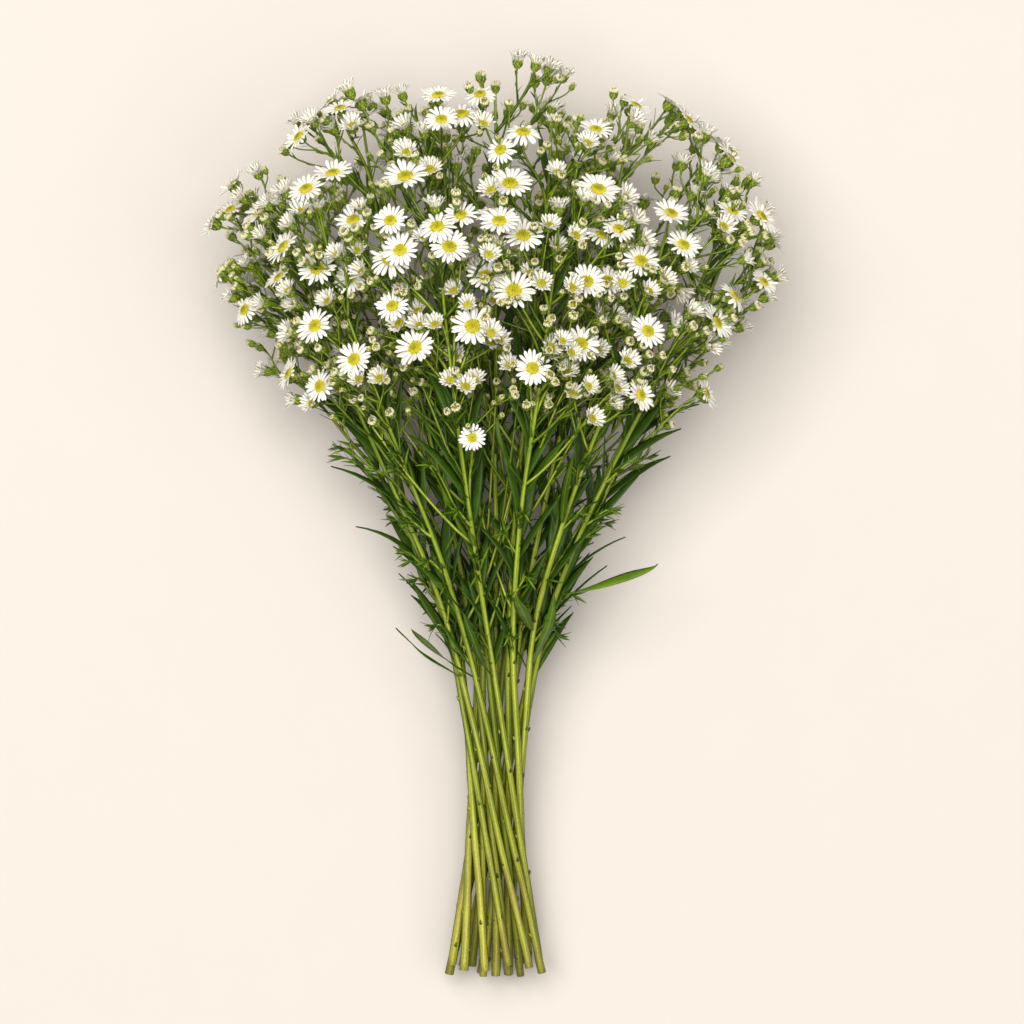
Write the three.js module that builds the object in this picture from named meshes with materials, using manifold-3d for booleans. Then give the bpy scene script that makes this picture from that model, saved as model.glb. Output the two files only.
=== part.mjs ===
// A bunch of cut white asters lying on a surface: nineteen stems that cross in a narrow waist, their
// side branches and buds, the open flower heads and the large leaves.
// Millimetres. +Y runs from the cut ends to the flowers, +Z is up and the surface is at Z = 0.
// Lengths along the bunch are counted from the waist, and the group is moved to its origin at the end.
import * as THREE from "three";
import { mergeVertices } from "three/addons/utils/BufferGeometryUtils.js";
import Module from "manifold-3d";

const wasm = await Module();
wasm.setup();

// The whole bunch
const TAIL = 98; // from the waist back to the cut ends
const CROWN = 402; // from the waist to the highest flower
const HEAD_RISE = 104; // how far the flower head stands above its middle line
const HEAD_DROP = 84; // and how far below it, pressed flat by its own weight
const WAIST_HEIGHT = 39; // the middle line at the waist, above the surface
const CLIMB = 0.16; // rise of the middle line along the bunch
// Half the width of the flower head at each distance from the waist
const OUTLINE = [
  [0, 18], [106, 37], [161, 59], [216, 108], [262, 140], [298, 152], [330, 145], [355, 125],
  [382, 90], [CROWN, 15],
];
const HEAD_CENTRE = 215; // the distance from the waist that the flowers face away from

// The stems
const TWIST = 0.0173; // sideways run of a stem one millimetre off centre, per millimetre of length
const FLATTEN = 0.8; // the bundle's height as a share of its width
const STRAIGHT = 70; // the stems are straight up to this distance past the waist
const CUT_RADIUS = 2.35;
const CUT_VARIATION = 0.1; // of that radius, from stem to stem
const STEM_GAP = 0.43; // least air between two stems at the waist
const PITCH = (2 * CUT_RADIUS * (1 + CUT_VARIATION) + STEM_GAP) / FLATTEN; // between stem centres there
const TIP_RADIUS = 0.75;
const CUT_SPREAD = 9; // difference in length between the cut ends
const HEAD_TURN = THREE.MathUtils.degToRad(62); // from a stem's place at the waist to its place in the head
const RINGS = [
  { count: 1, waist: 0, tip: 0, top: 388 },
  { count: 6, waist: 1, tip: 0.44, top: 366 },
  { count: 12, waist: 1.94, tip: 0.86, top: 322 },
];
const TIP_WIDTH = 152; // half width over which the stem tips spread
const OUTER_TURN = 0.2; // sets the outer ring's stems between those of the inner one, in radians
const TIP_VARIATION = 0.1; // of a tip's place across the flower head, from stem to stem
const TOP_VARIATION = 0.035; // and of its distance from the waist
const TIP_LEAN = 0.6; // how much of its spread a stem still has at its tip
const STEM_LEAVE = 0.36; // shares of its curved part in which a stem keeps its direction at the waist
const STEM_ARRIVE = 0.34; // and at its tip

// The side branches, leaves and flower heads
const BRANCHES = 6; // on each stem, besides the flower stalks
const FIRST_BRANCH = 0.26; // share of the curved part of the stem
const LAST_BRANCH = 0.94;
const LONG_BRANCH = 104;
const SHORT_BRANCH = 30;
const BRANCH_VARIATION = 0.16; // of those two lengths, from branch to branch
const BRANCH_SHIFT = 0.07; // of a branch's place along its stem
const BRANCH_PULL = 0.9; // towards the outside of the bunch
const BRANCH_RISE = 0.84; // a branch's end along its stem, as a share of its length
const BRANCH_AWAY = 0.54; // and away from the stem
const BRANCH_LEAVE = 0.27; // shares of that length in which it keeps its direction at the stem
const BRANCH_ARRIVE = 0.22; // and under its bud
const BRANCH_TRIM = 0.93; // a branch that leaves the flower head is shortened by this, again and again
const BRANCH_RADIUS = 1.05;
const NECK_RADIUS = 0.6;
const BUD_RADIUS = 2.7;
const BUD_LENGTH = 6.5;
const BUD_SWELL = [[0.3, 1], [0.7, 0.8], [1, 0.2]]; // shares of the bud's length and radius
const RAYS = 10;
const RAY_NOTCH = 0.5; // where two rays part, as a share of the head's radius
const RAY_THICKNESS = 0.9;
const CUP_LENGTH = 5.2;
const CUP_RADIUS = 3;
const CUP_BELLY = 0.4; // how far down the cup is this wide, as a share of its length
const DISC_RADIUS = 3.4;
const DISC_HEIGHT = 2.6;
const LEAF_LENGTH = 56;
const LEAF_HALF_WIDTH = 3.4;
const LEAF_THICKNESS = 0.8;
const LEAF_WIDTHS = [0.15, 0.62, 0.95, 1, 0.85, 0.5, 0.06]; // along it, as shares of the half width
const LEAF_VARIATION = 0.2; // of its length, from leaf to leaf
const LEAF_SHARES = [1, 0.8, 0.6]; // of that length, for a leaf that must be shorter to fit
const LEAF_STEPS_DOWN = [0, 0.2, 0.4, 0.6]; // how far down its stem it may go instead, in leaf lengths
const LEAF_PULL = 1.6; // towards the outside of the bunch
// The open flowers on the upper side: across the bunch, past the waist, radius
const FLOWER_PLACES = [
  [-12, 259, 12], [10, 278, 12], [-56, 295, 11], [-55, 270, 9.5], [46, 250, 10.5], [20, 237, 10],
  [-76, 242, 10], [-95, 228, 9.5], [-48, 339, 12], [8, 335, 12], [15, 307, 11], [55, 332, 12],
  [49, 283, 10.5], [78, 294, 11], [-16, 200, 7.5], [-26, 318, 9.5], [-76, 316, 10], [-97, 260, 10.5],
  [82, 257, 10], [66, 311, 9], [101, 303, 10], [-99, 333, 11], [-18, 373, 10], [54, 365, 9.5],
  [-144, 324, 9], [128, 322, 9], [15, 363, 9.5], [146, 285, 8.5], [-84, 378, 9],
];
const FLOWER_DEPTH = 0.93; // their height as a share of the flower head's own
const FLOWER_LEAN = 0.1; // towards the crown, at the middle of the head
const CROWN_LEAN = 1.3; // and at its top
const FACE_UP = 0.7; // and upwards
const SHORTEST_STALK = 46;
const STALK_STEP = 12; // more length for each new try
const STALK_LENGTHS = 8; // and how many lengths there are
const STALK_LEAVE = 0.42; // shares of its length in which a stalk keeps its direction at the stem
const STALK_ARRIVE = 0.3; // and under its flower
// Where each leaf lies, across the bunch and past the waist, and how much it leans away from its stem
const LEAF_PLACES = [
  [-16, 167, 1], [25, 137, 1], [-11, 112, 1], [38, 175, 1], [60, 200, 1.4], [0, 85, 1],
  [46, 137, 2.2], [41, 112, 2], [33, 100, 1], [-75, 161, 1.8], [-30, 87, 1.8], [-25, 70, 1.8],
];
const SEAT_GAP = 0.3; // between pieces that sit on one another
const AIR_GAP = 1.1; // between pieces of different stems
const TRIES = 90; // turns and places that a stalk or leaf may try
const NUDGE = 0.3; // how much further each try moves a flower off its place

const STEM_STEPS = 6; // straight pieces in the curved part of a stem, and in a branch
const BRANCH_STEPS = 3;

const GOLDEN = THREE.MathUtils.degToRad(137.508);
const UP = new THREE.Vector3(0, 0, 1);
const ALONG = new THREE.Vector3(0, 1, 0);

// What each repeatable random draw decides
const DRAW = { cut: 1, tipX: 2, tipZ: 3, tipY: 4, turn: 5, reach: 6, size: 7, height: 8 };

// A repeatable number from 0 to 1 for a list of whole numbers
function draw(...keys) {
  let h = 2166136261;
  for (const key of keys) h = Math.imul(h ^ key, 16777619) >>> 0;
  h = Math.imul(h ^ (h >>> 15), 2246822519) >>> 0;
  h = Math.imul(h ^ (h >>> 13), 3266489917) >>> 0;
  return ((h ^ (h >>> 16)) >>> 0) / 4294967296;
}
const vary = (share, ...keys) => 1 + share * (2 * draw(...keys) - 1);

const middle = (y) => WAIST_HEIGHT + CLIMB * y;

function halfWidth(y) {
  const next = OUTLINE.findIndex(([at]) => at >= y);
  if (next <= 0) return next ? 0 : OUTLINE[0][1];
  const [y0, w0] = OUTLINE[next - 1];
  const [y1, w1] = OUTLINE[next];
  return w0 + ((w1 - w0) * (y - y0)) / (y1 - y0);
}

const WIDEST = Math.max(...OUTLINE.map(([, width]) => width));

// 1 on the surface of the flower head, and less inside it
function fullness(p) {
  const width = halfWidth(p.y);
  if (!width) return Infinity;
  const side = p.z > middle(p.y) ? HEAD_RISE : HEAD_DROP;
  return Math.hypot(p.x / width, ((p.z - middle(p.y)) * WIDEST) / (side * width));
}

// Away from the middle of the flower head
function outward(p) {
  return new THREE.Vector3(p.x, 0.8 * (p.y - HEAD_CENTRE), 1.3 * (p.z - middle(p.y))).normalize();
}

const bezier = (points) => new THREE.CubicBezierCurve3(...points);

// ---- The skeleton ----

function makeStem(ring, place, id) {
  const angle = (2 * Math.PI * place) / ring.count + (ring === RINGS[2] ? OUTER_TURN : 0);
  const x = PITCH * ring.waist * Math.cos(angle);
  const z = PITCH * ring.waist * Math.sin(angle);
  const line = (y) =>
    new THREE.Vector3(x - TWIST * y * z, y, middle(y) + FLATTEN * (z + TWIST * y * x));
  const heading = line(1).sub(line(0)).normalize();
  const turned = angle + HEAD_TURN;
  const side = Math.sin(turned) > 0 ? HEAD_RISE : HEAD_DROP;
  const tip = new THREE.Vector3(
    TIP_WIDTH * ring.tip * Math.cos(turned) * vary(TIP_VARIATION, id, DRAW.tipX),
    ring.top * vary(TOP_VARIATION, id, DRAW.tipY),
    0,
  );
  const rise = side * ring.tip * Math.sin(turned) * vary(TIP_VARIATION, id, DRAW.tipZ);
  tip.z = middle(tip.y) + rise;
  const start = line(STRAIGHT);
  const span = tip.y - STRAIGHT;
  const lean = new THREE.Vector3(tip.x - start.x, 0, tip.z - start.z).multiplyScalar(TIP_LEAN / span);
  const arrival = ALONG.clone().add(lean).normalize();
  const curve = bezier([
    start,
    start.clone().addScaledVector(heading, STEM_LEAVE * span),
    tip.clone().addScaledVector(arrival, -STEM_ARRIVE * span),
    tip,
  ]);
  const cut = line(-TAIL + CUT_SPREAD * draw(id, DRAW.cut));
  const thickness = CUT_RADIUS * vary(CUT_VARIATION, id, DRAW.size);
  const radiusAt = (y) =>
    THREE.MathUtils.mapLinear(y, -TAIL, tip.y, thickness, TIP_RADIUS);
  return { id, cut, curve, line, radiusAt, branches: [] };
}

const spineOf = (stem) => [stem.cut, ...stem.curve.getPoints(STEM_STEPS)];

const taken = []; // { line, radius, owner } of everything placed so far

function claim(points, radius, owner) {
  for (let i = 1; i < points.length; i += 1) {
    taken.push({ line: new THREE.Line3(points[i - 1], points[i]), radius, owner });
  }
}

function isClear(points, radius, owner) {
  const near = new THREE.Vector3();
  return taken.every(
    (t) =>
      t.owner === owner ||
      points.every(
        (p) => t.line.closestPointToPoint(p, true, near).distanceTo(p) > radius + t.radius + AIR_GAP,
      ),
  );
}

// Points along a broken line, two millimetres apart
function dense(points) {
  return points.slice(1).flatMap((end, i) => {
    const steps = Math.ceil(end.distanceTo(points[i]) / 2);
    return Array.from({ length: steps + 1 }, (_, k) => points[i].clone().lerp(end, k / steps));
  });
}

// A direction across a stem, turned round it and drawn towards the outside of the bunch
function across(point, along, turn, outwards) {
  const right = new THREE.Vector3().crossVectors(along, UP).normalize();
  const over = new THREE.Vector3().crossVectors(right, along);
  const out = outward(point);
  out.y = 0;
  const made = right.multiplyScalar(Math.cos(turn)).addScaledVector(over, Math.sin(turn));
  made.addScaledVector(out, outwards);
  return made.addScaledVector(along, -made.dot(along)).normalize();
}

const atLeast = (p, z) => p.setZ(Math.max(p.z, z));

function branchCurve(stem, index, attempt) {
  const share = THREE.MathUtils.lerp(FIRST_BRANCH, LAST_BRANCH, (index + 0.5) / BRANCHES);
  const u = share * vary(BRANCH_SHIFT, stem.id, index, DRAW.height);
  const root = stem.curve.getPoint(u);
  const along = stem.curve.getTangent(u);
  const turn = GOLDEN * (index + attempt) + stem.id + draw(stem.id, index, DRAW.turn);
  const side = across(root, along, turn, BRANCH_PULL);
  let reach = THREE.MathUtils.lerp(LONG_BRANCH, SHORT_BRANCH, share);
  reach *= vary(BRANCH_VARIATION, stem.id, index, DRAW.reach);
  const end = new THREE.Vector3();
  do {
    end.copy(root).addScaledVector(along, BRANCH_RISE * reach).addScaledVector(side, BRANCH_AWAY * reach);
    reach *= BRANCH_TRIM;
  } while (fullness(end) > 1 && reach > SHORT_BRANCH / 2);
  atLeast(end, 2 * BUD_RADIUS);
  const facing = outward(end).multiplyScalar(0.7).addScaledVector(along, 0.45);
  facing.addScaledVector(side, 0.2).normalize();
  const leave = root.clone().addScaledVector(along.clone().add(side), BRANCH_LEAVE * reach);
  const arrive = end.clone().addScaledVector(facing, -BRANCH_ARRIVE * reach);
  return {
    curve: bezier([root, atLeast(leave, BUD_RADIUS), atLeast(arrive, BUD_RADIUS), end]),
    facing,
  };
}

function growBranch(stem, index) {
  for (let attempt = 0; attempt < TRIES; attempt += 1) {
    const { curve, facing } = branchCurve(stem, index, attempt);
    const points = curve.getPoints(BRANCH_STEPS);
    const neck = points[BRANCH_STEPS];
    const bud = [neck, neck.clone().addScaledVector(facing, BUD_LENGTH)];
    const budId = `bud ${stem.id}.${index}`;
    if (isClear(dense(points), BRANCH_RADIUS, stem.id) && isClear(dense(bud), BUD_RADIUS, budId)) {
      claim(points, BRANCH_RADIUS, stem.id);
      claim(bud, BUD_RADIUS, budId);
      stem.branches.push({ points, facing, bare: false });
      return;
    }
  }
}

// The tips of twelve spokes over a flower head
function spokes(centre, facing, radius) {
  const right = new THREE.Vector3().crossVectors(facing, ALONG).normalize();
  const over = new THREE.Vector3().crossVectors(right, facing);
  return Array.from({ length: 12 }, (_, k) => {
    const angle = (Math.PI * k) / 6;
    return centre
      .clone()
      .addScaledVector(right, radius * Math.cos(angle))
      .addScaledVector(over, radius * Math.sin(angle));
  });
}

// The height of the flower head's upper side
function roof(x, y) {
  const width = halfWidth(y);
  const curve = Math.sqrt(Math.max(0, 1 - (x / width) ** 2));
  return middle(y) + ((FLOWER_DEPTH * HEAD_RISE * width) / WIDEST) * curve;
}

// A stalk from a stem to an open flower, tried from every stem, the nearest first
function growFlower([x, y, radius], index) {
  const owner = `flower ${index}`;
  for (let attempt = 0; attempt < TRIES; attempt += 1) {
    const centre = new THREE.Vector3(x, y, roof(x, y));
    centre.x += NUDGE * attempt * Math.cos(GOLDEN * attempt);
    centre.z += NUDGE * attempt * Math.sin(GOLDEN * attempt);
    const lean = THREE.MathUtils.mapLinear(y, HEAD_CENTRE, CROWN, FLOWER_LEAN, CROWN_LEAN);
    const facing = outward(centre).addScaledVector(UP, FACE_UP).addScaledVector(ALONG, lean);
    facing.normalize();
    const neck = centre.clone().addScaledVector(facing, -SEAT_GAP - CUP_LENGTH);
    const rim = spokes(centre, facing, radius);
    if (!rim.every((p) => isClear(dense([centre, p]), RAY_THICKNESS, owner))) continue;
    if (!isClear(dense([neck, centre]), CUP_RADIUS, owner)) continue;
    const rootY = y - SHORTEST_STALK - STALK_STEP * (attempt % STALK_LENGTHS);
    const seats = seatsAt(Math.max(rootY, STRAIGHT)).sort(
      (a, b) => a.root.distanceTo(neck) - b.root.distanceTo(neck),
    );
    for (const { stem, root, along } of seats) {
      const reach = root.distanceTo(neck);
      const leave = root.clone().addScaledVector(along, STALK_LEAVE * reach);
      const arrive = neck.clone().addScaledVector(facing, -STALK_ARRIVE * reach);
      const points = bezier([root, leave, arrive, neck]).getPoints(BRANCH_STEPS + 1);
      if (!isClear(dense(points), BRANCH_RADIUS, stem.id)) continue;
      claim(points, BRANCH_RADIUS, stem.id);
      claim([neck, centre], CUP_RADIUS, owner);
      rim.forEach((p) => claim([centre, p], RAY_THICKNESS, owner));
      stem.branches.push({ points, facing, bare: true });
      return { centre, facing, radius };
    }
  }
  return null;
}

// The point and direction of every stem at a distance past the waist
function seatsAt(y) {
  return stems.map((stem) => {
    let u = 0;
    while (u < LAST_BRANCH && stem.curve.getPoint(u).y < y) u += 0.01;
    return { stem, root: stem.curve.getPoint(u), along: stem.curve.getTangent(u) };
  });
}

// A leaf as long as its place allows, tried a little further down at each length
function growLeaf([x, y, lean], index) {
  for (const share of LEAF_SHARES) {
    const reach = share * LEAF_LENGTH * vary(LEAF_VARIATION, index, DRAW.reach);
    for (const down of LEAF_STEPS_DOWN) {
      const leaf = tryLeaf(x, y - down * reach, reach, lean, `leaf ${index}`);
      if (leaf) return leaf;
    }
  }
  return null;
}

// A leaf on the upper side of the stem that suits its place best
function tryLeaf(x, y, reach, lean, owner) {
  const miss = ({ root }) => Math.abs(root.x - 0.8 * x) - 0.7 * root.z;
  const seats = seatsAt(Math.max(y - 0.4 * reach, STRAIGHT)).sort((a, b) => miss(a) - miss(b));
  for (const { stem, root, along } of seats) {
    for (let attempt = 0; attempt < TRIES; attempt += 1) {
      const side = across(root, along, GOLDEN * attempt, LEAF_PULL);
      const skin = stem.radiusAt(root.y) + SEAT_GAP + LEAF_THICKNESS;
      const base = root.clone().addScaledVector(side, skin);
      const away = side.clone().multiplyScalar(lean * reach);
      const bow = base.clone().addScaledVector(along, 0.4 * reach).addScaledVector(away, 0.24);
      const rise = (1.04 - 0.2 * lean) * reach;
      const tip = base.clone().addScaledVector(along, rise).addScaledVector(away, 0.4);
      atLeast(bow, 2 * LEAF_THICKNESS);
      atLeast(tip, 2 * LEAF_THICKNESS);
      const points = new THREE.QuadraticBezierCurve3(base, bow, tip).getPoints(LEAF_WIDTHS.length - 1);
      if (!isClear([base], LEAF_THICKNESS - AIR_GAP, owner)) continue;
      if (!isClear(dense(points.slice(1, 3)), LEAF_WIDTHS[1] * LEAF_HALF_WIDTH, owner)) continue;
      if (!isClear(dense(points.slice(2)), LEAF_HALF_WIDTH, owner)) continue;
      claim(points, LEAF_HALF_WIDTH, owner);
      return { points, face: side };
    }
  }
  return null;
}

// ---- The solids ----

// A closed body round a broken line: sizes holds [half width, half thickness] at each point, and face
// is the direction the flat of a wide body looks in.
function limb(points, sizes, sides, face = UP) {
  const last = points.length - 1;
  const tube = new THREE.CylinderGeometry(1, 1, 1, sides, last);
  const place = tube.getAttribute("position");
  for (let i = 0; i < place.count; i += 1) {
    const k = Math.round((place.getY(i) + 0.5) * last);
    const forward = points[Math.min(k + 1, last)].clone().sub(points[Math.max(k - 1, 0)]).normalize();
    const right = new THREE.Vector3().crossVectors(forward, face).normalize();
    const over = new THREE.Vector3().crossVectors(right, forward);
    const [width, thickness] = sizes[k];
    const p = points[k]
      .clone()
      .addScaledVector(right, width * place.getX(i))
      .addScaledVector(over, thickness * place.getZ(i));
    place.setXYZ(i, p.x, p.y, p.z);
  }
  return tube;
}

function solidOf(geometry) {
  const bare = geometry.clone();
  for (const name of ["normal", "uv"]) bare.deleteAttribute(name);
  const merged = mergeVertices(bare, 1e-4);
  return new wasm.Manifold(
    new wasm.Mesh({
      numProp: 3,
      vertProperties: merged.getAttribute("position").array,
      triVerts: new Uint32Array(merged.index.array),
    }),
  );
}

function geometryOf(solid) {
  const { vertProperties, triVerts } = solid.getMesh();
  const made = new THREE.BufferGeometry();
  made.setAttribute("position", new THREE.BufferAttribute(vertProperties, 3));
  made.setIndex(new THREE.BufferAttribute(triVerts, 1));
  made.computeVertexNormals();
  return made;
}

const round = (radius) => [radius, radius];

function stemGeometry(stem) {
  const spine = spineOf(stem);
  const sizes = spine.map((p) => round(stem.radiusAt(p.y)));
  const body = budded(spine, sizes, stem.curve.getTangent(1), 5);
  return geometryOf(
    stem.branches.reduce((whole, branch) => whole.add(solidOf(branchGeometry(branch))), solidOf(body)),
  );
}

// A stalk that swells into a bud at its end
function budded(points, sizes, facing, sides) {
  const neck = points[points.length - 1];
  const bud = BUD_SWELL.map(([share]) => neck.clone().addScaledVector(facing, share * BUD_LENGTH));
  const swell = BUD_SWELL.map(([, share]) => round(share * BUD_RADIUS));
  return limb([...points, ...bud], [...sizes, ...swell], sides);
}

function branchGeometry({ points, facing, bare }) {
  const share = 1 / (points.length - 1);
  const sizes = points.map((_, k) => round(THREE.MathUtils.lerp(BRANCH_RADIUS, NECK_RADIUS, k * share)));
  return bare ? limb(points, sizes, 4) : budded(points, sizes, facing, 4);
}

// An open flower head: a cup, a ring of rays and a domed disc, turned to face along its stalk
function flowerGeometry({ centre, facing, radius }) {
  const rays = new THREE.Shape(
    Array.from({ length: 2 * RAYS }, (_, k) => {
      const reach = k % 2 ? RAY_NOTCH * radius : radius;
      const angle = (Math.PI * k) / RAYS;
      return new THREE.Vector2(reach * Math.cos(angle), reach * Math.sin(angle));
    }),
  );
  const plate = new THREE.ExtrudeGeometry(rays, { depth: RAY_THICKNESS, bevelEnabled: false });
  const profile = [
    new THREE.Vector2(0, -CUP_LENGTH),
    new THREE.Vector2(CUP_RADIUS, -CUP_BELLY * CUP_LENGTH),
    new THREE.Vector2(DISC_RADIUS, RAY_THICKNESS),
    new THREE.Vector2(0, DISC_HEIGHT),
  ];
  const core = new THREE.LatheGeometry(profile, 6).rotateX(Math.PI / 2);
  const head = geometryOf(solidOf(plate).add(solidOf(core)));
  const turn = new THREE.Quaternion().setFromUnitVectors(UP, facing);
  return head.applyQuaternion(turn).translate(centre.x, centre.y, centre.z);
}

// A lance-shaped leaf, thickest along its midrib and narrow at both ends
function leafGeometry({ points, face }) {
  const sizes = LEAF_WIDTHS.map((w) => [w * LEAF_HALF_WIDTH, Math.sqrt(w) * 0.5 * LEAF_THICKNESS]);
  return limb(points, sizes, 4, face);
}

// ---- The bunch ----

const stems = [];
for (const ring of RINGS) {
  for (let place = 0; place < ring.count; place += 1) stems.push(makeStem(ring, place, stems.length));
}
for (const stem of stems) {
  const spine = spineOf(stem);
  const bud = spine[spine.length - 1].clone().addScaledVector(stem.curve.getTangent(1), BUD_LENGTH);
  claim(spine, 0.75 * CUT_RADIUS, stem.id);
  claim([spine[spine.length - 1], bud], BUD_RADIUS, stem.id);
}
const leaves = LEAF_PLACES.map(growLeaf);
const flowers = FLOWER_PLACES.map(growFlower);
for (let index = 0; index < BRANCHES; index += 1) stems.forEach((stem) => growBranch(stem, index));

const green = new THREE.MeshStandardMaterial({ color: "#86983c", roughness: 0.55 });
const leafGreen = new THREE.MeshStandardMaterial({ color: "#4f6b24", roughness: 0.6 });
const white = new THREE.MeshStandardMaterial({ color: "#f6f5ef", roughness: 0.7 });

const bunch = new THREE.Group();
function addPieces(kind, list, shape, material) {
  list.forEach((entry, i) => {
    if (!entry) return;
    const piece = new THREE.Mesh(shape(entry), material);
    piece.name = `${kind}_${String(i + 1).padStart(2, "0")}`;
    bunch.add(piece);
  });
}
addPieces("stem", stems, stemGeometry, green);
addPieces("leaf", leaves, leafGeometry, leafGreen);
addPieces("flower", flowers, flowerGeometry, white);

// The origin is on the surface, under the middle of the bunch
const box = new THREE.Box3().setFromObject(bunch);
const centre = box.getCenter(new THREE.Vector3());
bunch.position.set(-centre.x, -centre.y, -box.min.z);

export default bunch;
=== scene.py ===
"""A bunch of cut white asters lying on a pale surface, seen from above.

The stems, leaves and open flowers grow by the rules of the CAD part, and the smaller stalks, heads,
buds and leaves grow on them. Lengths are in millimetres, counted along the bunch from its narrow
waist, until a piece is made: then they become metres in the row's frame.
"""

from collections import namedtuple
from math import ceil, cos, exp, hypot, inf, pi, radians, sin, sqrt, tau

import bpy
import numpy as np
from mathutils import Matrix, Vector


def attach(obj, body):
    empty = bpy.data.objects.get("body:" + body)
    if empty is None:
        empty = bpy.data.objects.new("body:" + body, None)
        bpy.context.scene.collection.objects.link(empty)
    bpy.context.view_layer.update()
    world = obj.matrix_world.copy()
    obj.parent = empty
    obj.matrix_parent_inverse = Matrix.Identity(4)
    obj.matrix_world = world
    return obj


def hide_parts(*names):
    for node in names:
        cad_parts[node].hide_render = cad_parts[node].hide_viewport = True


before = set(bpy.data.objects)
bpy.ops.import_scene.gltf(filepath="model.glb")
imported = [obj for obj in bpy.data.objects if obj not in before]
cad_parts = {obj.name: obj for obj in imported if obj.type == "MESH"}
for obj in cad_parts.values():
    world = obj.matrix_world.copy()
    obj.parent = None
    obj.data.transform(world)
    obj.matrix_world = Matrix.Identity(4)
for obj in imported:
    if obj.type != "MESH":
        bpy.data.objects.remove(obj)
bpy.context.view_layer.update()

MM = 0.001
WAIST = np.array([-0.496, -153.822, -1.186])  # where the waist's middle line meets the surface

# ---- The bunch, as in the CAD part ----

TAIL = 98
CROWN = 402
HEAD_RISE = 104
HEAD_DROP = 84
WAIST_HEIGHT = 39
CLIMB = 0.16
OUTLINE = [
    (0, 18), (106, 37), (161, 59), (216, 108), (262, 140), (298, 152), (330, 145), (355, 125),
    (382, 90), (CROWN, 15),
]
HEAD_CENTRE = 215
FLATTEN = 0.8
TWIST = 0.0173
STRAIGHT = 70
STEM_LEAVE = 0.36
STEM_ARRIVE = 0.34
CUT_RADIUS = 2.35
CUT_VARIATION = 0.1
STEM_GAP = 0.43
PITCH = (2 * CUT_RADIUS * (1 + CUT_VARIATION) + STEM_GAP) / FLATTEN
TIP_RADIUS = 0.75
CUT_SPREAD = 9
HEAD_TURN = radians(62)
OUTER_TURN = 0.2
RINGS = [(1, 0, 0, 388), (6, 1, 0.44, 366), (12, 1.94, 0.86, 322)]  # count, at the waist, tip, top
TIP_WIDTH = 152
TIP_VARIATION = 0.1
TOP_VARIATION = 0.035
TIP_LEAN = 0.6
BRANCHES = 6
FIRST_BRANCH = 0.26
LAST_BRANCH = 0.94
LONG_BRANCH = 104
SHORT_BRANCH = 30
BRANCH_RADIUS = 1.05
BRANCH_VARIATION = 0.16
BRANCH_SHIFT = 0.07
BRANCH_PULL = 0.9
BRANCH_RISE = 0.84
BRANCH_AWAY = 0.54
BRANCH_LEAVE = 0.27
BRANCH_ARRIVE = 0.22
BRANCH_TRIM = 0.93
NECK_RADIUS = 0.6
BUD_RADIUS = 2.7
BUD_LENGTH = 6.5
RAY_THICKNESS = 0.9
CUP_LENGTH = 5.2
CUP_RADIUS = 3
FLOWER_PLACES = [
    (-12, 259, 12), (10, 278, 12), (-56, 295, 11), (-55, 270, 9.5), (46, 250, 10.5), (20, 237, 10),
    (-76, 242, 10), (-95, 228, 9.5), (-48, 339, 12), (8, 335, 12), (15, 307, 11), (55, 332, 12),
    (49, 283, 10.5), (78, 294, 11), (-16, 200, 7.5), (-26, 318, 9.5), (-76, 316, 10), (-97, 260, 10.5),
    (82, 257, 10), (66, 311, 9), (101, 303, 10), (-99, 333, 11), (-18, 373, 10), (54, 365, 9.5),
    (-144, 324, 9), (128, 322, 9), (15, 363, 9.5), (146, 285, 8.5), (-84, 378, 9),
]
FLOWER_DEPTH = 0.93
FLOWER_LEAN = 0.1
CROWN_LEAN = 1.3
FACE_UP = 0.7
SHORTEST_STALK = 46
STALK_STEP = 12
STALK_LENGTHS = 8
STALK_LEAVE = 0.42
STALK_ARRIVE = 0.3
LEAF_PLACES = [
    (-16, 167, 1), (25, 137, 1), (-11, 112, 1), (38, 175, 1), (60, 200, 1.4), (0, 85, 1),
    (46, 137, 2.2), (41, 112, 2), (33, 100, 1), (-75, 161, 1.8), (-30, 87, 1.8), (-25, 70, 1.8),
]
LEAF_LENGTH = 56
LEAF_VARIATION = 0.2
LEAF_SHARES = (1, 0.8, 0.6)
LEAF_STEPS_DOWN = (0, 0.2, 0.4, 0.6)
LEAF_PULL = 1.6
LEAF_HALF_WIDTH = 3.4
LEAF_THICKNESS = 0.8
LEAF_FOOT = 0.62  # its width near its foot, as a share of the half width
SEAT_GAP = 0.3
AIR_GAP = 1.1
TRIES = 90
NUDGE = 0.3
STEM_STEPS = 6
BRANCH_STEPS = 3

GOLDEN = radians(137.508)
UP = np.array([0.0, 0.0, 1.0])
ALONG = np.array([0.0, 1.0, 0.0])
CUT, TIP_X, TIP_Z, TIP_Y, TURN, REACH, SIZE, HEIGHT = range(1, 9)  # what each draw decides
KIND, SPIN, SHADE, WAVE, LIFT = range(20, 25)  # and the draws that only the looks need

# ---- Sizes that only the looks need ----

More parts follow.
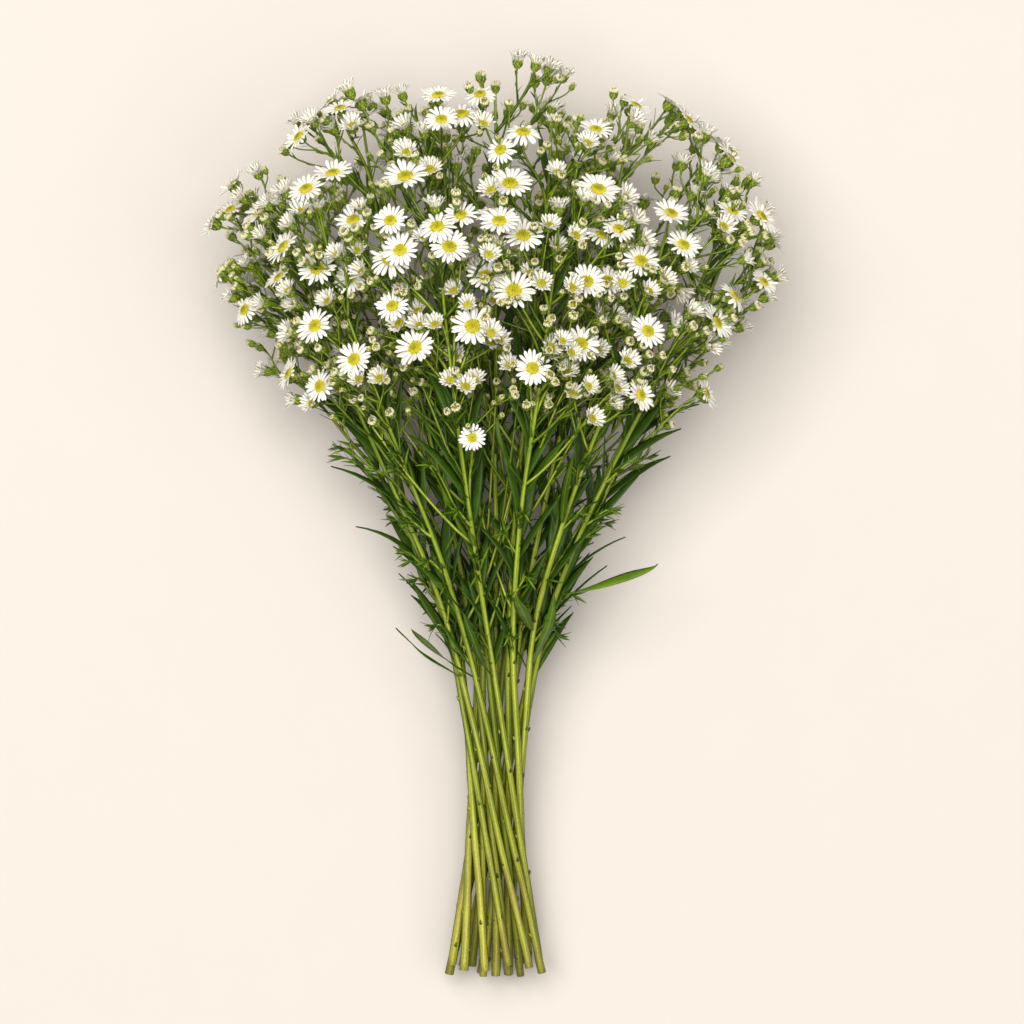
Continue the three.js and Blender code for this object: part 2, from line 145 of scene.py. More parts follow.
EXTRA_BRANCHES = 8  # more branches on each stem, under and between the CAD's own
EXTRA_REACH = (165, 56)
STEM_LEAVES = (5, 18, 1.4)  # on each stem: how many, their length and half width
BRANCH_LEAVES = (4, 12, 1.0)
TWIG_LEAVES = (3, 5.5, 0.55)
BROAD_LEAVES = (16, 38, 3.0)  # ones that fill the bunch from below, made deep green by painted shade
UPPER_LEAVES = (10, 27, 1.9)  # and narrower ones under the flowers
PAINTED_SHADE_TONE = 0.2  # how light both are, as a share of the others' shades: painted shade for the shade inside the bunch
TWIG_PLACES = (0.45, 0.62, 0.78, 0.92)  # along a branch
TWIG_REACH = (36, 15)
TWIG_RADIUS = 0.55
TWIGLET_PLACES = (0.5, 0.78)  # along a twig
TWIGLET_REACH = (12, 8)
TWIGLET_RADIUS = 0.42
TWIGLET_SHARE = 0.5  # of the twigs' places where there is one
HEADS_FROM = 205  # heads stand beyond this, and nearer the waist there are only leaves
HEAD_SPACE = 0.62  # least distance between two heads, as a share of their radii together
FLOOR_GAP = 0.25  # what would lie lower is eased up to this
EASE_BELOW = 2
EASE = 3
NODE_SPACING = 21  # between the leaf scars on a stem


def draw(*keys):
    """A repeatable number from 0 to 1 for a list of whole numbers."""
    low = 0xFFFFFFFF
    h = 2166136261
    for key in keys:
        h = ((h ^ key) * 16777619) & low
    h = ((h ^ (h >> 15)) * 2246822519) & low
    h = ((h ^ (h >> 13)) * 3266489917) & low
    return (h ^ (h >> 16)) / 4294967296


def vary(share, *keys):
    return 1 + share * (2 * draw(*keys) - 1)


def unit(v):
    return v / np.linalg.norm(v)


def mix(a, b, share):
    return a + (b - a) * share


def middle(y):
    return WAIST_HEIGHT + CLIMB * y


def half_width(y):
    if y > OUTLINE[-1][0]:
        return 0.0
    return float(np.interp(y, *zip(*OUTLINE)))


WIDEST = max(o[1] for o in OUTLINE)


def fullness(p):
    """1 on the surface of the flower head, and less inside it."""
    width = half_width(p[1])
    if not width:
        return inf
    side = HEAD_RISE if p[2] > middle(p[1]) else HEAD_DROP
    return hypot(p[0] / width, (p[2] - middle(p[1])) * WIDEST / (side * width))


def outward(p):
    """Away from the middle of the flower head."""
    return unit(np.array([p[0], 0.8 * (p[1] - HEAD_CENTRE), 1.3 * (p[2] - middle(p[1]))]))


class Bezier:
    def __init__(self, *points):
        self.p = np.array(points, float)

    def at(self, u):
        a, b, c, d = self.p
        v = 1 - u
        return v**3 * a + 3 * v * v * u * b + 3 * v * u * u * c + u**3 * d

    def heading(self, u):
        return unit(self.at(min(1, u + 0.0001)) - self.at(max(0, u - 0.0001)))

    def points(self, steps):
        return [self.at(k / steps) for k in range(steps + 1)]


# ---- The skeleton, as in the CAD part ----

# A side branch. A bare one ends under a flower that is its own piece.
Stalk = namedtuple("Stalk", "curve facing radius bare")


class Stem:
    def __init__(self, ring, place, number):
        count, waist, tip_share, top = ring
        angle = tau * place / count + (OUTER_TURN if count > 6 else 0)
        self.number = number
        self.x = PITCH * waist * cos(angle)
        self.z = PITCH * waist * sin(angle)
        turned = angle + HEAD_TURN
        side = HEAD_RISE if sin(turned) > 0 else HEAD_DROP
        y = top * vary(TOP_VARIATION, number, TIP_Y)
        x = TIP_WIDTH * tip_share * cos(turned) * vary(TIP_VARIATION, number, TIP_X)
        z = middle(y) + side * tip_share * sin(turned) * vary(TIP_VARIATION, number, TIP_Z)
        self.tip = np.array([x, y, z])
        start = self.line(STRAIGHT)
        span = y - STRAIGHT
        lean = np.array([x - start[0], 0, z - start[2]]) * TIP_LEAN / span
        arrival = unit(ALONG + lean)
        heading = unit(self.line(1) - self.line(0))
        bow = start + heading * STEM_LEAVE * span
        self.curve = Bezier(start, bow, self.tip - arrival * STEM_ARRIVE * span, self.tip)
        self.cut = self.line(-TAIL + CUT_SPREAD * draw(number, CUT))
        self.thickness = CUT_RADIUS * vary(CUT_VARIATION, number, SIZE)
        self.stalks = []

    def line(self, y):
        x = self.x - TWIST * y * self.z
        return np.array([x, y, middle(y) + FLATTEN * (self.z + TWIST * y * self.x)])

    def radius_at(self, y):
        share = (y + TAIL) / (self.tip[1] + TAIL)
        return mix(self.thickness, TIP_RADIUS, share)

    def spine(self):
        return [self.cut, *self.curve.points(STEM_STEPS)]


class Space:
    """The lines of everything placed so far, with their radii and owners."""

    def __init__(self):
        self.start, self.run, self.radius, self.owner = [], [], [], []

    def claim(self, points, radius, owner):
        for a, b in zip(points, points[1:]):
            self.start.append(a)
            self.run.append(b - a)
            self.radius.append(radius)
            self.owner.append(owner)

    def is_clear(self, points, radius, owner):
        others = [i for i, o in enumerate(self.owner) if o != owner]
        if not others:
            return True
        start, run = np.array(self.start)[others], np.array(self.run)[others]
        away = np.array(points)[:, None] - start
        length = np.maximum((run * run).sum(1), 1e-12)
        share = np.clip((away * run).sum(2) / length, 0, 1)
        distance = np.linalg.norm(away - share[..., None] * run, axis=2)
        return bool((distance > radius + np.array(self.radius)[others] + AIR_GAP).all())


def dense(points):
    """Points along a broken line, two millimetres apart."""
    found = []
    for a, b in zip(points, points[1:]):
        steps = ceil(np.linalg.norm(b - a) / 2)
        found += [mix(a, b, k / steps) for k in range(steps + 1)]
    return found


def across(point, along, turn, outwards):
    """A direction across a stem, turned round it and drawn towards the outside of the bunch."""
    right = unit(np.cross(along, UP))
    over = np.cross(right, along)
    out = outward(point) * (1, 0, 1)
    made = right * cos(turn) + over * sin(turn) + out * outwards
    return unit(made - along * made.dot(along))


def at_least(p, z):
    return np.array([p[0], p[1], max(p[2], z)])


def branch_curve(stem, share, reach, index, attempt):
    u = share * vary(BRANCH_SHIFT, stem.number, index, HEIGHT)
    root, along = stem.curve.at(u), stem.curve.heading(u)
    turn = GOLDEN * (index + attempt) + stem.number + draw(stem.number, index, TURN)
    side = across(root, along, turn, BRANCH_PULL)
    reach *= vary(BRANCH_VARIATION, stem.number, index, REACH)
    while True:
        end = root + along * BRANCH_RISE * reach + side * BRANCH_AWAY * reach
        reach *= BRANCH_TRIM
        if fullness(end) <= 1 or reach <= SHORT_BRANCH / 2:
            break
    end = at_least(end, 2 * BUD_RADIUS)
    facing = unit(outward(end) * 0.7 + along * 0.45 + side * 0.2)
    leave = at_least(root + (along + side) * BRANCH_LEAVE * reach, BUD_RADIUS)
    arrive = at_least(end - facing * BRANCH_ARRIVE * reach, BUD_RADIUS)
    return Bezier(root, leave, arrive, end), facing


def grow_branch(space, stem, index):
    share = mix(FIRST_BRANCH, LAST_BRANCH, (index + 0.5) / BRANCHES)
    reach = mix(LONG_BRANCH, SHORT_BRANCH, share)
    for attempt in range(TRIES):
        curve, facing = branch_curve(stem, share, reach, index, attempt)
        points = curve.points(BRANCH_STEPS)
        bud = [points[-1], points[-1] + facing * BUD_LENGTH]
        bud_owner = ("bud", stem.number, index)
        if not space.is_clear(dense(points), BRANCH_RADIUS, stem.number):
            continue
        if not space.is_clear(dense(bud), BUD_RADIUS, bud_owner):
            continue
        space.claim(points, BRANCH_RADIUS, stem.number)
        space.claim(bud, BUD_RADIUS, bud_owner)
        stem.stalks.append(Stalk(curve, facing, BRANCH_RADIUS, False))
        return


def spokes(centre, facing, radius):
    right = unit(np.cross(facing, ALONG))
    over = np.cross(right, facing)
    angles = [pi * k / 6 for k in range(12)]
    return [centre + radius * (right * cos(a) + over * sin(a)) for a in angles]


def roof(x, y):
    """The height of the flower head's upper side."""
    width = half_width(y)
    bow = sqrt(max(0, 1 - (x / width) ** 2))
    return middle(y) + FLOWER_DEPTH * HEAD_RISE * width / WIDEST * bow


def seats_at(stems, y):
    """The point and direction of every stem at a distance past the waist."""
    found = []
    for stem in stems:
        u = 0
        while u < LAST_BRANCH and stem.curve.at(u)[1] < y:
            u += 0.01
        found.append((stem, stem.curve.at(u), stem.curve.heading(u)))
    return found


def grow_flower(space, stems, place, index):
    x, y, radius = place
    owner = ("flower", index)
    for attempt in range(TRIES):
        centre = np.array([float(x), float(y), roof(x, y)])
        centre[0] += NUDGE * attempt * cos(GOLDEN * attempt)
        centre[2] += NUDGE * attempt * sin(GOLDEN * attempt)
        lean = mix(FLOWER_LEAN, CROWN_LEAN, (y - HEAD_CENTRE) / (CROWN - HEAD_CENTRE))
        facing = unit(outward(centre) + UP * FACE_UP + ALONG * lean)
        neck = centre - facing * (SEAT_GAP + CUP_LENGTH)
        rim = spokes(centre, facing, radius)
        if not all(space.is_clear(dense([centre, p]), RAY_THICKNESS, owner) for p in rim):
            continue
        if not space.is_clear(dense([neck, centre]), CUP_RADIUS, owner):
            continue
        root_y = max(y - SHORTEST_STALK - STALK_STEP * (attempt % STALK_LENGTHS), STRAIGHT)
        seats = sorted(seats_at(stems, root_y), key=lambda s: np.linalg.norm(s[1] - neck))
        for stem, root, along in seats:
            reach = np.linalg.norm(root - neck)
            leave = root + along * STALK_LEAVE * reach
            curve = Bezier(root, leave, neck - facing * STALK_ARRIVE * reach, neck)
            points = curve.points(BRANCH_STEPS + 1)
            if not space.is_clear(dense(points), BRANCH_RADIUS, stem.number):
                continue
            space.claim(points, BRANCH_RADIUS, stem.number)
            space.claim([neck, centre], CUP_RADIUS, owner)
            for p in rim:
                space.claim([centre, p], RAY_THICKNESS, owner)
            stem.stalks.append(Stalk(curve, facing, BRANCH_RADIUS, True))
            return centre, facing, radius
    return None


def try_leaf(space, stems, x, y, reach, lean, owner):
    def miss(seat):
        return abs(seat[1][0] - 0.8 * x) - 0.7 * seat[1][2]

    for stem, root, along in sorted(seats_at(stems, max(y - 0.4 * reach, STRAIGHT)), key=miss):
        for attempt in range(TRIES):
            side = across(root, along, GOLDEN * attempt, LEAF_PULL)
            base = root + side * (stem.radius_at(root[1]) + SEAT_GAP + LEAF_THICKNESS)
            away = side * lean * reach
            rise = (1.04 - 0.2 * lean) * reach
            bow = at_least(base + along * 0.4 * reach + away * 0.24, 2 * LEAF_THICKNESS)
            tip = at_least(base + along * rise + away * 0.4, 2 * LEAF_THICKNESS)
            points = [bow_between(base, bow, tip, k / 6) for k in range(7)]
            parts = [
                ([base], LEAF_THICKNESS - AIR_GAP),
                (dense(points[1:3]), LEAF_FOOT * LEAF_HALF_WIDTH),
                (dense(points[2:]), LEAF_HALF_WIDTH),
            ]
            if all(space.is_clear(*part, owner) for part in parts):
                space.claim(points, LEAF_HALF_WIDTH, owner)
                return base, bow, tip, side
    return None


def bow_between(a, b, c, u):
    return (1 - u) ** 2 * a + 2 * (1 - u) * u * b + u * u * c


def grow_leaf(space, stems, place, index):
    x, y, lean = place
    for share in LEAF_SHARES:
        reach = share * LEAF_LENGTH * vary(LEAF_VARIATION, index, REACH)
        for down in LEAF_STEPS_DOWN:
            leaf = try_leaf(space, stems, x, y - down * reach, reach, lean, ("leaf", index))
            if leaf:
                return leaf
    return None


def grow_bunch():
    stems = []
    for ring in RINGS:
        for place in range(ring[0]):
            stems.append(Stem(ring, place, len(stems)))
    space = Space()
    for stem in stems:
        spine = stem.spine()
        space.claim(spine, 0.75 * CUT_RADIUS, stem.number)
        space.claim([spine[-1], spine[-1] + stem.curve.heading(1) * BUD_LENGTH], BUD_RADIUS, stem.number)
    leaves = [grow_leaf(space, stems, place, i) for i, place in enumerate(LEAF_PLACES)]
    flowers = [grow_flower(space, stems, place, i) for i, place in enumerate(FLOWER_PLACES)]
    for index in range(BRANCHES):
        for stem in stems:
            grow_branch(space, stem, index)
    return stems, leaves, flowers


# ---- Surfaces: points, faces and what the materials need to know of them ----


class Surface:
    """Points in millimetres, faces of three or four corners (-1 for none), a map and a tint.

    The tint is age (0 young or outer, 1 old or inner), a number of its own for each organ, and how
    far along its organ a point is. Each face has the number of its material.
    """

    def __init__(self):
        self.points, self.faces, self.maps, self.tints, self.stuffs = [], [], [], [], []
        self.count = 0

    def add(self, points, faces, maps, tints, stuff):
        self.points.append(points)
        self.faces.append(np.where(faces < 0, -1, faces + self.count))
        self.maps.append(maps)
        self.tints.append(tints)
        self.stuffs.append(np.full(len(faces), stuff) if np.isscalar(stuff) else stuff)
        self.count += len(points)

    def joined(self):
        lists = (self.points, self.faces, self.maps, self.tints, self.stuffs)
        return [np.concatenate(parts) for parts in lists]

    def copy_to(self, other, turn, place, shade):
        """Adds this surface to another one, turned, scaled and moved."""
        points, faces, maps, tints, stuffs = self.joined()
        tints = tints.copy()
        tints[:, 1] = (tints[:, 1] + shade) % 1
        other.add(points @ turn.T + place, faces, maps, tints, stuffs)


def circle(sides):
    turns = [tau * k / sides for k in range(sides)]
    return [(cos(a), sin(a)) for a in turns]


CIRCLES = {sides: circle(sides) for sides in (4, 6, 8, 10)}
# Cross-sections of a ray, with its two ridges, and of a leaf, with its midrib
RAY_SECTION = [(1, 0.3), (0.5, 1), (0, 0.35), (-0.5, 1), (-1, 0.3), (0, -0.8)]
LEAF_SECTION = [
    (1, 0.5), (0.5, 0.3), (0, -0.3), (-0.5, 0.3), (-1, 0.5), (-0.5, -0.5), (0, -1.6), (0.5, -0.5),
]
SMALL_SECTION = [(1, 0.4), (0, -0.1), (-1, 0.4), (0, -1)]


def sweep(surface, path, sizes, section, face, stuff, age=0.5, shade=0.5):
    """A closed body along a path. face is the way its upper side looks, one or one for each point."""
    path, sizes = np.array(path, float), np.array(sizes, float)
    section = np.array(section, float)
    if sizes.ndim == 1:
        sizes = np.stack([sizes, sizes], 1)
    steps, sides = len(path), len(section)
    along = np.gradient(path, axis=0)
    along /= np.linalg.norm(along, axis=1)[:, None]
    right = np.cross(along, np.broadcast_to(face, path.shape))
    right /= np.linalg.norm(right, axis=1)[:, None]
    over = np.cross(right, along)
    wide = (section[None, :, 0] * sizes[:, None, 0])[..., None] * right[:, None]
    high = (section[None, :, 1] * sizes[:, None, 1])[..., None] * over[:, None]
    rings = (path[:, None] + wide + high).reshape(-1, 3)
    points = np.vstack([rings, path[:1], path[-1:]])
    k, j = np.meshgrid(np.arange(steps - 1), np.arange(sides), indexing="ij")
    k, j = k.ravel(), j.ravel()
    n = (j + 1) % sides
    quads = np.stack([k * sides + j, (k + 1) * sides + j, (k + 1) * sides + n, k * sides + n], 1)
    j = np.arange(sides)
    n = (j + 1) % sides
    none = np.full(sides, -1)
    top = (steps - 1) * sides
    start = np.stack([np.full(sides, steps * sides), j, n, none], 1)
    end = np.stack([np.full(sides, steps * sides + 1), top + n, top + j, none], 1)
    share = np.linspace(0, 1, steps)
    around = np.tile(np.arange(sides) / sides, steps)
    maps = np.stack([around, np.repeat(share, sides)], 1)
    maps = np.vstack([maps, [[0.5, 0.03], [0.5, 0.97]]])
    ages = np.repeat(np.broadcast_to(age, steps), sides)
    ages = np.concatenate([ages, ages[:1], ages[-1:]])
    tints = np.stack([ages, np.full(len(points), shade), maps[:, 1]], 1)
    surface.add(points, np.vstack([quads, start, end]), maps, tints, stuff)


def any_side(path):
    """Upwards, or along the bunch where the path itself rises steeply."""
    run = unit(np.array(path[-1]) - np.array(path[0]))
    return UP if abs(run[2]) < 0.8 else ALONG


def lathe(surface, profile, sides, stuff, age=0.5, shade=0.5):
    """A closed body turned round Z. The profile is [(radius, height)], from low to high."""
    path = [(0, 0, z) for _, z in profile]
    sizes = [r for r, _ in profile]
    sweep(surface, path, sizes, CIRCLES[sides], (0, 1, 0), stuff, age, shade)


# ---- Flower heads, built at the origin with the flower looking along +Z ----

RAYS, DISC, CUP, BARK, LEAF, PITH = range(6)  # materials, in the order of a piece's slots


# A ray has a start, slopes in degrees from foot to tip, a length and a half width. deep is the cup's
# depth, and youth goes from 0 for a flower to 1 for a bud.
HeadForm = namedtuple("HeadForm", "radius rays start slopes length width disc florets deep youth")
OPEN = HeadForm(10.5, 20, 2.8, (24, -12), 8.0, 1.15, 3.7, 62, CUP_LENGTH, 0.0)
REFLEXED = HeadForm(9.5, 19, 2.8, (10, -50), 7.6, 1.1, 3.7, 62, CUP_LENGTH, 0.0)
HALF_OPEN = HeadForm(6.7, 18, 2.1, (64, 20), 6.2, 1.05, 2.5, 30, 4.2, 0.14)
OPENING = HeadForm(2.9, 13, 1.65, (58, 148), 3.0, 0.62, 1.5, 16, 3.6, 0.7)
BUD = HeadForm(2.0, 8, 1.1, (82, 140), 1.9, 0.5, 0.8, 3, 3.6, 1.0)


RAY_KEYS = 101  # keys for draws that each head keeps for its rays


def ray(surface, form, azimuth, seed, inner=False):
    """One ray: a grooved strap that springs from the disc's edge, bows and ends in a blunt point."""
    steps = 8 if form.youth == 0 else 5
    unruly = 1 + 2 * form.youth
    length = form.length * vary(0.09 * unruly, seed, 1) * (0.8 if inner else 1)
    lift, curl = form.slopes
    closing = 30 * form.youth * (draw(seed // RAY_KEYS, WAVE) - 0.5)
    lift += closing + (14 if inner else 0) + 9 * unruly * (draw(seed, 2) - 0.5)
    curl += closing + (10 if inner else 0) + 26 * unruly * (draw(seed, 3) - 0.5)
    if form.youth < 0.5 and draw(seed, 4) < 0.08:
        curl += 45
    swing = 0.16 * (draw(seed, 5) - 0.5)
    share = np.linspace(0, 1, steps)
    slopes = np.radians(mix(lift, curl, share))
    part = length / (steps - 1)
    out = form.start + np.concatenate([[0], np.cumsum(np.cos(slopes[:-1]) * part)])
    up = 0.25 + np.concatenate([[0], np.cumsum(np.sin(slopes[:-1]) * part)])
    turn = azimuth + swing * share**2
    path = np.stack([out * np.cos(turn), out * np.sin(turn), up], 1)
    face = np.stack([-np.sin(slopes) * np.cos(turn), -np.sin(slopes) * np.sin(turn), np.cos(slopes)], 1)
    widths = np.interp(share, (0, 0.25, 0.5, 0.75, 0.9, 1), (0.42, 0.72, 0.94, 1.0, 0.82, 0.24))
    thick = mix(0.2, 0.08, share) if form.youth < 0.5 else mix(0.4, 0.25, share)
    sizes = np.stack([widths * form.width * vary(0.1, seed, 6), thick], 1)
    section = RAY_SECTION if form.youth == 0 else SMALL_SECTION
    sweep(surface, path, sizes, section, face, RAYS, form.youth, draw(seed, 7))


FLORET_SIDES = [[2 * k, (2 * k + 2) % 8, (2 * k + 3) % 8, 2 * k + 1] for k in range(4)]
FLORET_DOME = [[2 * k + 1, (2 * k + 3) % 8, 8, -1] for k in range(4)]
FLORET_FACES = np.array(FLORET_SIDES + FLORET_DOME)


def floret(surface, place, normal, size, age, seed):
    """One disc floret: a small four-sided tube with a domed top."""
    right = unit(np.cross(normal, (0.3, 0.9, 0.2)))
    over = np.cross(normal, right)
    points = []
    for k in range(4):
        edge = right * cos(k * pi / 2) + over * sin(k * pi / 2)
        points.append(place - normal * size + edge * size * 0.8)
        points.append(place + normal * size * 0.5 + edge * size * 0.95)
    points.append(place + normal * size * (0.9 + 0.5 * draw(seed)))
    maps = np.array([(k // 2 / 4, 0.7 * (k % 2)) for k in range(8)] + [(0.5, 1)])
    tints = np.tile([[age, draw(seed, 1), 0.5]], (9, 1))
    surface.add(np.array(points), FLORET_FACES, maps, tints, DISC)


def disc(surface, form, seed):
    """The disc: a low dome packed with florets in spirals, darker and flatter at its middle."""
    rise = 0.36 * form.disc
    profile = [(0.5, -0.6), (0.7, 0.2), (0.95, 0.65), (0.8, 0.65 + rise * 0.5), (0.4, 0.65 + rise * 0.8)]
    profile.append((0.03, 0.65 + rise * 0.72))
    lathe(surface, [(form.disc * r, z) for r, z in profile], 10, DISC, 0.4)
    for k in range(form.florets):
        share = sqrt((k + 0.5) / form.florets)
        turn = GOLDEN * k
        bow = cos(share * pi / 2)
        dip = 0.22 * rise * exp(-((share / 0.3) ** 2))
        radius = form.disc * share
        place = np.array([radius * cos(turn), radius * sin(turn), 0.75 + rise * bow - dip])
        normal = unit(np.array([place[0] * 0.5, place[1] * 0.5, form.disc]))
        size = form.disc * 0.9 / sqrt(form.florets) * mix(0.8, 1.15, share)
        age = min(1, 1.3 * (1 - share) + 1.5 * form.youth)
        floret(surface, place, normal, size, age, seed * 211 + k)


def bract(surface, turn, foot, height, radii, width, flare, age, seed):
    """A scale of the cup, pressed against it and loose at its point."""
    share = np.linspace(0, 1, 4)
    out = mix(*radii, share) + 0.16 + flare * share**3
    path = np.stack([out * cos(turn), out * sin(turn), foot + height * share], 1)
    face = np.array([cos(turn), sin(turn), 0.0])
    sizes = np.stack([np.array([0.8, 1.0, 0.7, 0.12]) * width, np.full(4, 0.16)], 1)
    sweep(surface, path, sizes, SMALL_SECTION, face, CUP, age, draw(seed))


def cup(surface, form, seed):
    """The green cup: a vase of overlapping scales on the swollen end of the stalk."""
    deep = form.deep
    wide = form.start + 0.3
    profile = [(NECK_RADIUS, -deep), (wide * 0.5, -deep * 0.82), (wide * 0.85, -deep * 0.5)]
    profile += [(wide, -deep * 0.2), (form.start + 0.1, 0.25)]
    lathe(surface, profile, 8, CUP, 0.5)
    count = 8 if form.youth < 0.5 else 6
    closed = form.youth == 1
    lows = (0.48, 0.8, 0.96)
    highs = (0.9, 1.0, 0.5 if closed else 1.0)
    heights = (0.46, 0.5, 0.9 if closed else 0.6)
    for row in range(3):
        foot = -deep * (0.86 - 0.24 * row)
        for k in range(count):
            turn = tau * (k + 0.5 * row) / count + 0.2 * draw(seed, row, k)
            height = deep * heights[row] * vary(0.12, seed, k, row)
            flare = 0.2 + 0.45 * draw(seed, k, row, 5)
            radii = wide * lows[row], wide * highs[row]
            key = seed * 31 + 9 * row + k
            bract(surface, turn, foot, height, radii, 0.36 * wide, flare, 0.3 * row, key)


def head(form, seed):
    surface = Surface()
    for k in range(form.rays):
        azimuth = tau * (k + 0.35 * (draw(seed, k, 1) - 0.5)) / form.rays
        ray(surface, form, azimuth, seed * RAY_KEYS + k)
    inner = 5 if form.youth < 0.5 else form.rays // 2
    for k in range(inner):
        azimuth = tau * (k + draw(seed, k, 2)) / inner
        ray(surface, form, azimuth, seed * RAY_KEYS + 50 + k, inner=True)
    disc(surface, form, seed)
    cup(surface, form, seed)
    return surface


def towards(facing, spin, scale):
    """The turn that takes +Z to a direction, with a spin about it and a scale."""
    right = unit(np.cross(facing, (0.31, 0.2, -0.93) if abs(facing[2]) < 0.9 else (0.2, 0.95, 0.1)))
    over = np.cross(facing, right)
    a = right * cos(spin) + over * sin(spin)
    return np.stack([a, np.cross(facing, a), facing], 1) * scale


# ---- What grows on the skeleton ----


class Heads:
    """Forms to copy from, and the places already taken."""

    VARIANTS = 5

    def __init__(self):
        self.made = {}
        self.places, self.radii = [], []

    def form(self, kind, seed):
        key = (id(kind), seed % self.VARIANTS)
        if key not in self.made:
            self.made[key] = head(kind, key[1] + 7)
        return self.made[key]

    def fits(self, place, radius):
        if not self.places:
            return True
        away = np.linalg.norm(np.array(self.places) - place, axis=1)
        return bool((away > HEAD_SPACE * (np.array(self.radii) + radius)).all())

    def take(self, place, radius):
        self.places.append(place)
        self.radii.append(radius)


OPEN_FROM, HALF_OPEN_FROM, OPENING_FROM = 0.87, 0.45, 0.13


def choose_form(place, seed):
    """Open heads stand on the outside of the bunch, and buds lower down and inside it."""
    outer = fullness(place)
    chance = draw(seed, KIND) + (outer - 0.85) + 0.002 * (place[1] - 290)
    if chance > OPEN_FROM:
        return OPEN if draw(seed, SPIN) < 0.7 else REFLEXED
    if chance > HALF_OPEN_FROM:
        return HALF_OPEN
    if chance > OPENING_FROM:
        return OPENING
    return BUD


def add_head(surface, heads, neck, facing, seed, first=None):
    """The largest head that fits at the end of a stalk, or nothing where it is too crowded."""
    order = [OPEN, REFLEXED, HALF_OPEN, OPENING, BUD]
    for form in order[order.index(first or choose_form(neck, seed)):]:
        scale = vary(0.14, seed, SIZE)
        centre = neck + facing * form.deep * scale * 0.96
        reach = form.radius * scale
        if centre[2] < 0.55 * reach + 1 or not heads.fits(centre, reach):
            continue
        heads.take(centre, reach)
        turn = towards(facing, tau * draw(seed, SPIN), scale)
        heads.form(form, seed).copy_to(surface, turn, centre, draw(seed, SHADE))
        return True
    return False


def small_leaf(surface, root, along, side, length, half, seed, shade_tone=1):
    """A narrow leaf that leaves a stalk and bows outwards."""
    droop = 0.25 + 0.6 * draw(seed, LIFT)
    bow = root + along * 0.5 * length + side * 0.2 * length
    tip = root + along * (0.95 - 0.3 * droop) * length + side * (0.25 + 0.45 * droop) * length
    share = np.linspace(0, 1, 7)
    path = np.array([at_least(bow_between(root, bow, tip, u), 0.6) for u in share])
    widths = np.array([0.45, 0.8, 1.0, 0.95, 0.75, 0.45, 0.08]) * half
    sizes = np.stack([widths, np.full(7, 0.11 + 0.05 * half)], 1)
    section = LEAF_SECTION if half > 2 else SMALL_SECTION
    # A tone below 1 darkens the leaf: painted shade for the leaves inside the bunch.
    sweep(surface, path, sizes, section, side + along * 0.2, LEAF, 0.3, shade_tone * draw(seed, SHADE))


def leaves_along(surface, curve, first, last, count, length, half, seed, below=False):
    """Leaves in a spiral along a stalk. Those that fill the bunch from below all turn down and are
    darkened with painted shade.
    """
    for k in range(count):
        u = mix(first, last, (k + 0.6 * draw(seed, k, HEIGHT)) / count)
        root, along = curve.at(u), curve.heading(u)
        side = across(root, along, GOLDEN * k + seed, 0.25)
        if below and side[2] > 0:
            side = -side
        size = vary(0.35, seed, k, SIZE)
        # Painted shade: leaves that fill the bunch from below take a darker tone for the shade inside it.
        shade_tone = PAINTED_SHADE_TONE if below else 1
        small_leaf(surface, root, along, side, length * size, half * size, seed * 37 + k, shade_tone)


def leaf_tuft(surface, stalk, seed):
    """The tip of a shoot too low in the bunch to flower."""
    end = stalk.curve.at(1)
    for k in range(4):
        side = across(end, stalk.facing, GOLDEN * k + seed, 0)
        small_leaf(surface, end, stalk.facing, side, 9 * vary(0.3, seed, k, REACH), 0.85, seed * 11 + k)


def stalk_tube(surface, curve, radius, tip_radius, steps, sides, shade):
    path = curve.points(steps)
    radii = np.linspace(radius, tip_radius, steps + 1)
    radii[0] *= 1.25
    age = np.interp(path[0][1], (0, 330), (0.7, 0.15))
    sweep(surface, path, radii, CIRCLES[sides], any_side(path), BARK, age, shade)


def twig(surface, blooms, heads, stalk, u, spin, reach, radius, seed, first=None):
    """A side stalk with a head at its end, where there is room for one."""
    root, along = stalk.at(u), stalk.heading(u)
    for attempt in range(3):
        side = across(root, along, spin + 2.3 * attempt * GOLDEN, 0.35)
        length = reach * vary(0.35, seed, attempt, REACH)
        end = root + along * 0.8 * length + side * 0.55 * length
        if fullness(end) > 1.02 or end[1] < HEADS_FROM + 14 * draw(seed, HEIGHT):
            continue
        end = at_least(end, 3.5)
        facing = unit(outward(end) * 0.6 + along * 0.65 + side * 0.3 + UP * 0.1)
        if add_head(blooms, heads, end, facing, seed * 7 + attempt, first):
            leave = root + (along * 0.3 + side * 0.22) * length
            curve = Bezier(root, leave, end - facing * 0.3 * length, end)
            stalk_tube(surface, curve, radius, radius * 0.8, 5, 4, draw(seed, SHADE))
            return curve
    return None


def grow_twigs(surface, blooms, heads, stalk, seed):
    """The flower stalks along a branch, each with small leaves, a head and twiglets with buds."""
    for k, place in enumerate(TWIG_PLACES[:3] if stalk.bare else TWIG_PLACES):
        key = seed * 13 + k
        u = place * vary(0.08, key, HEIGHT)
        root, along = stalk.curve.at(u), stalk.curve.heading(u)
        spin = GOLDEN * k + seed
        side = across(root, along, spin, 0.35)
        small_leaf(surface, root, along, side, 9 * vary(0.4, key, REACH), 0.75, key)
        reach = mix(*TWIG_REACH, place)
        curve = twig(surface, blooms, heads, stalk.curve, u, spin, reach, TWIG_RADIUS, key)
        if not curve:
            continue
        leaves_along(surface, curve, 0.15, 0.95, *TWIG_LEAVES, key)
        for j, at in enumerate(TWIGLET_PLACES):
            if draw(key, j, HEIGHT) > TWIGLET_SHARE:
                continue
            reach = TWIGLET_REACH[j]
            first = OPENING if draw(key, j, KIND) < 0.6 else BUD
            budding = key * 5 + j + 1
            twig(surface, blooms, heads, curve, at, 2.4 * j + key, reach, TWIGLET_RADIUS, budding, first)


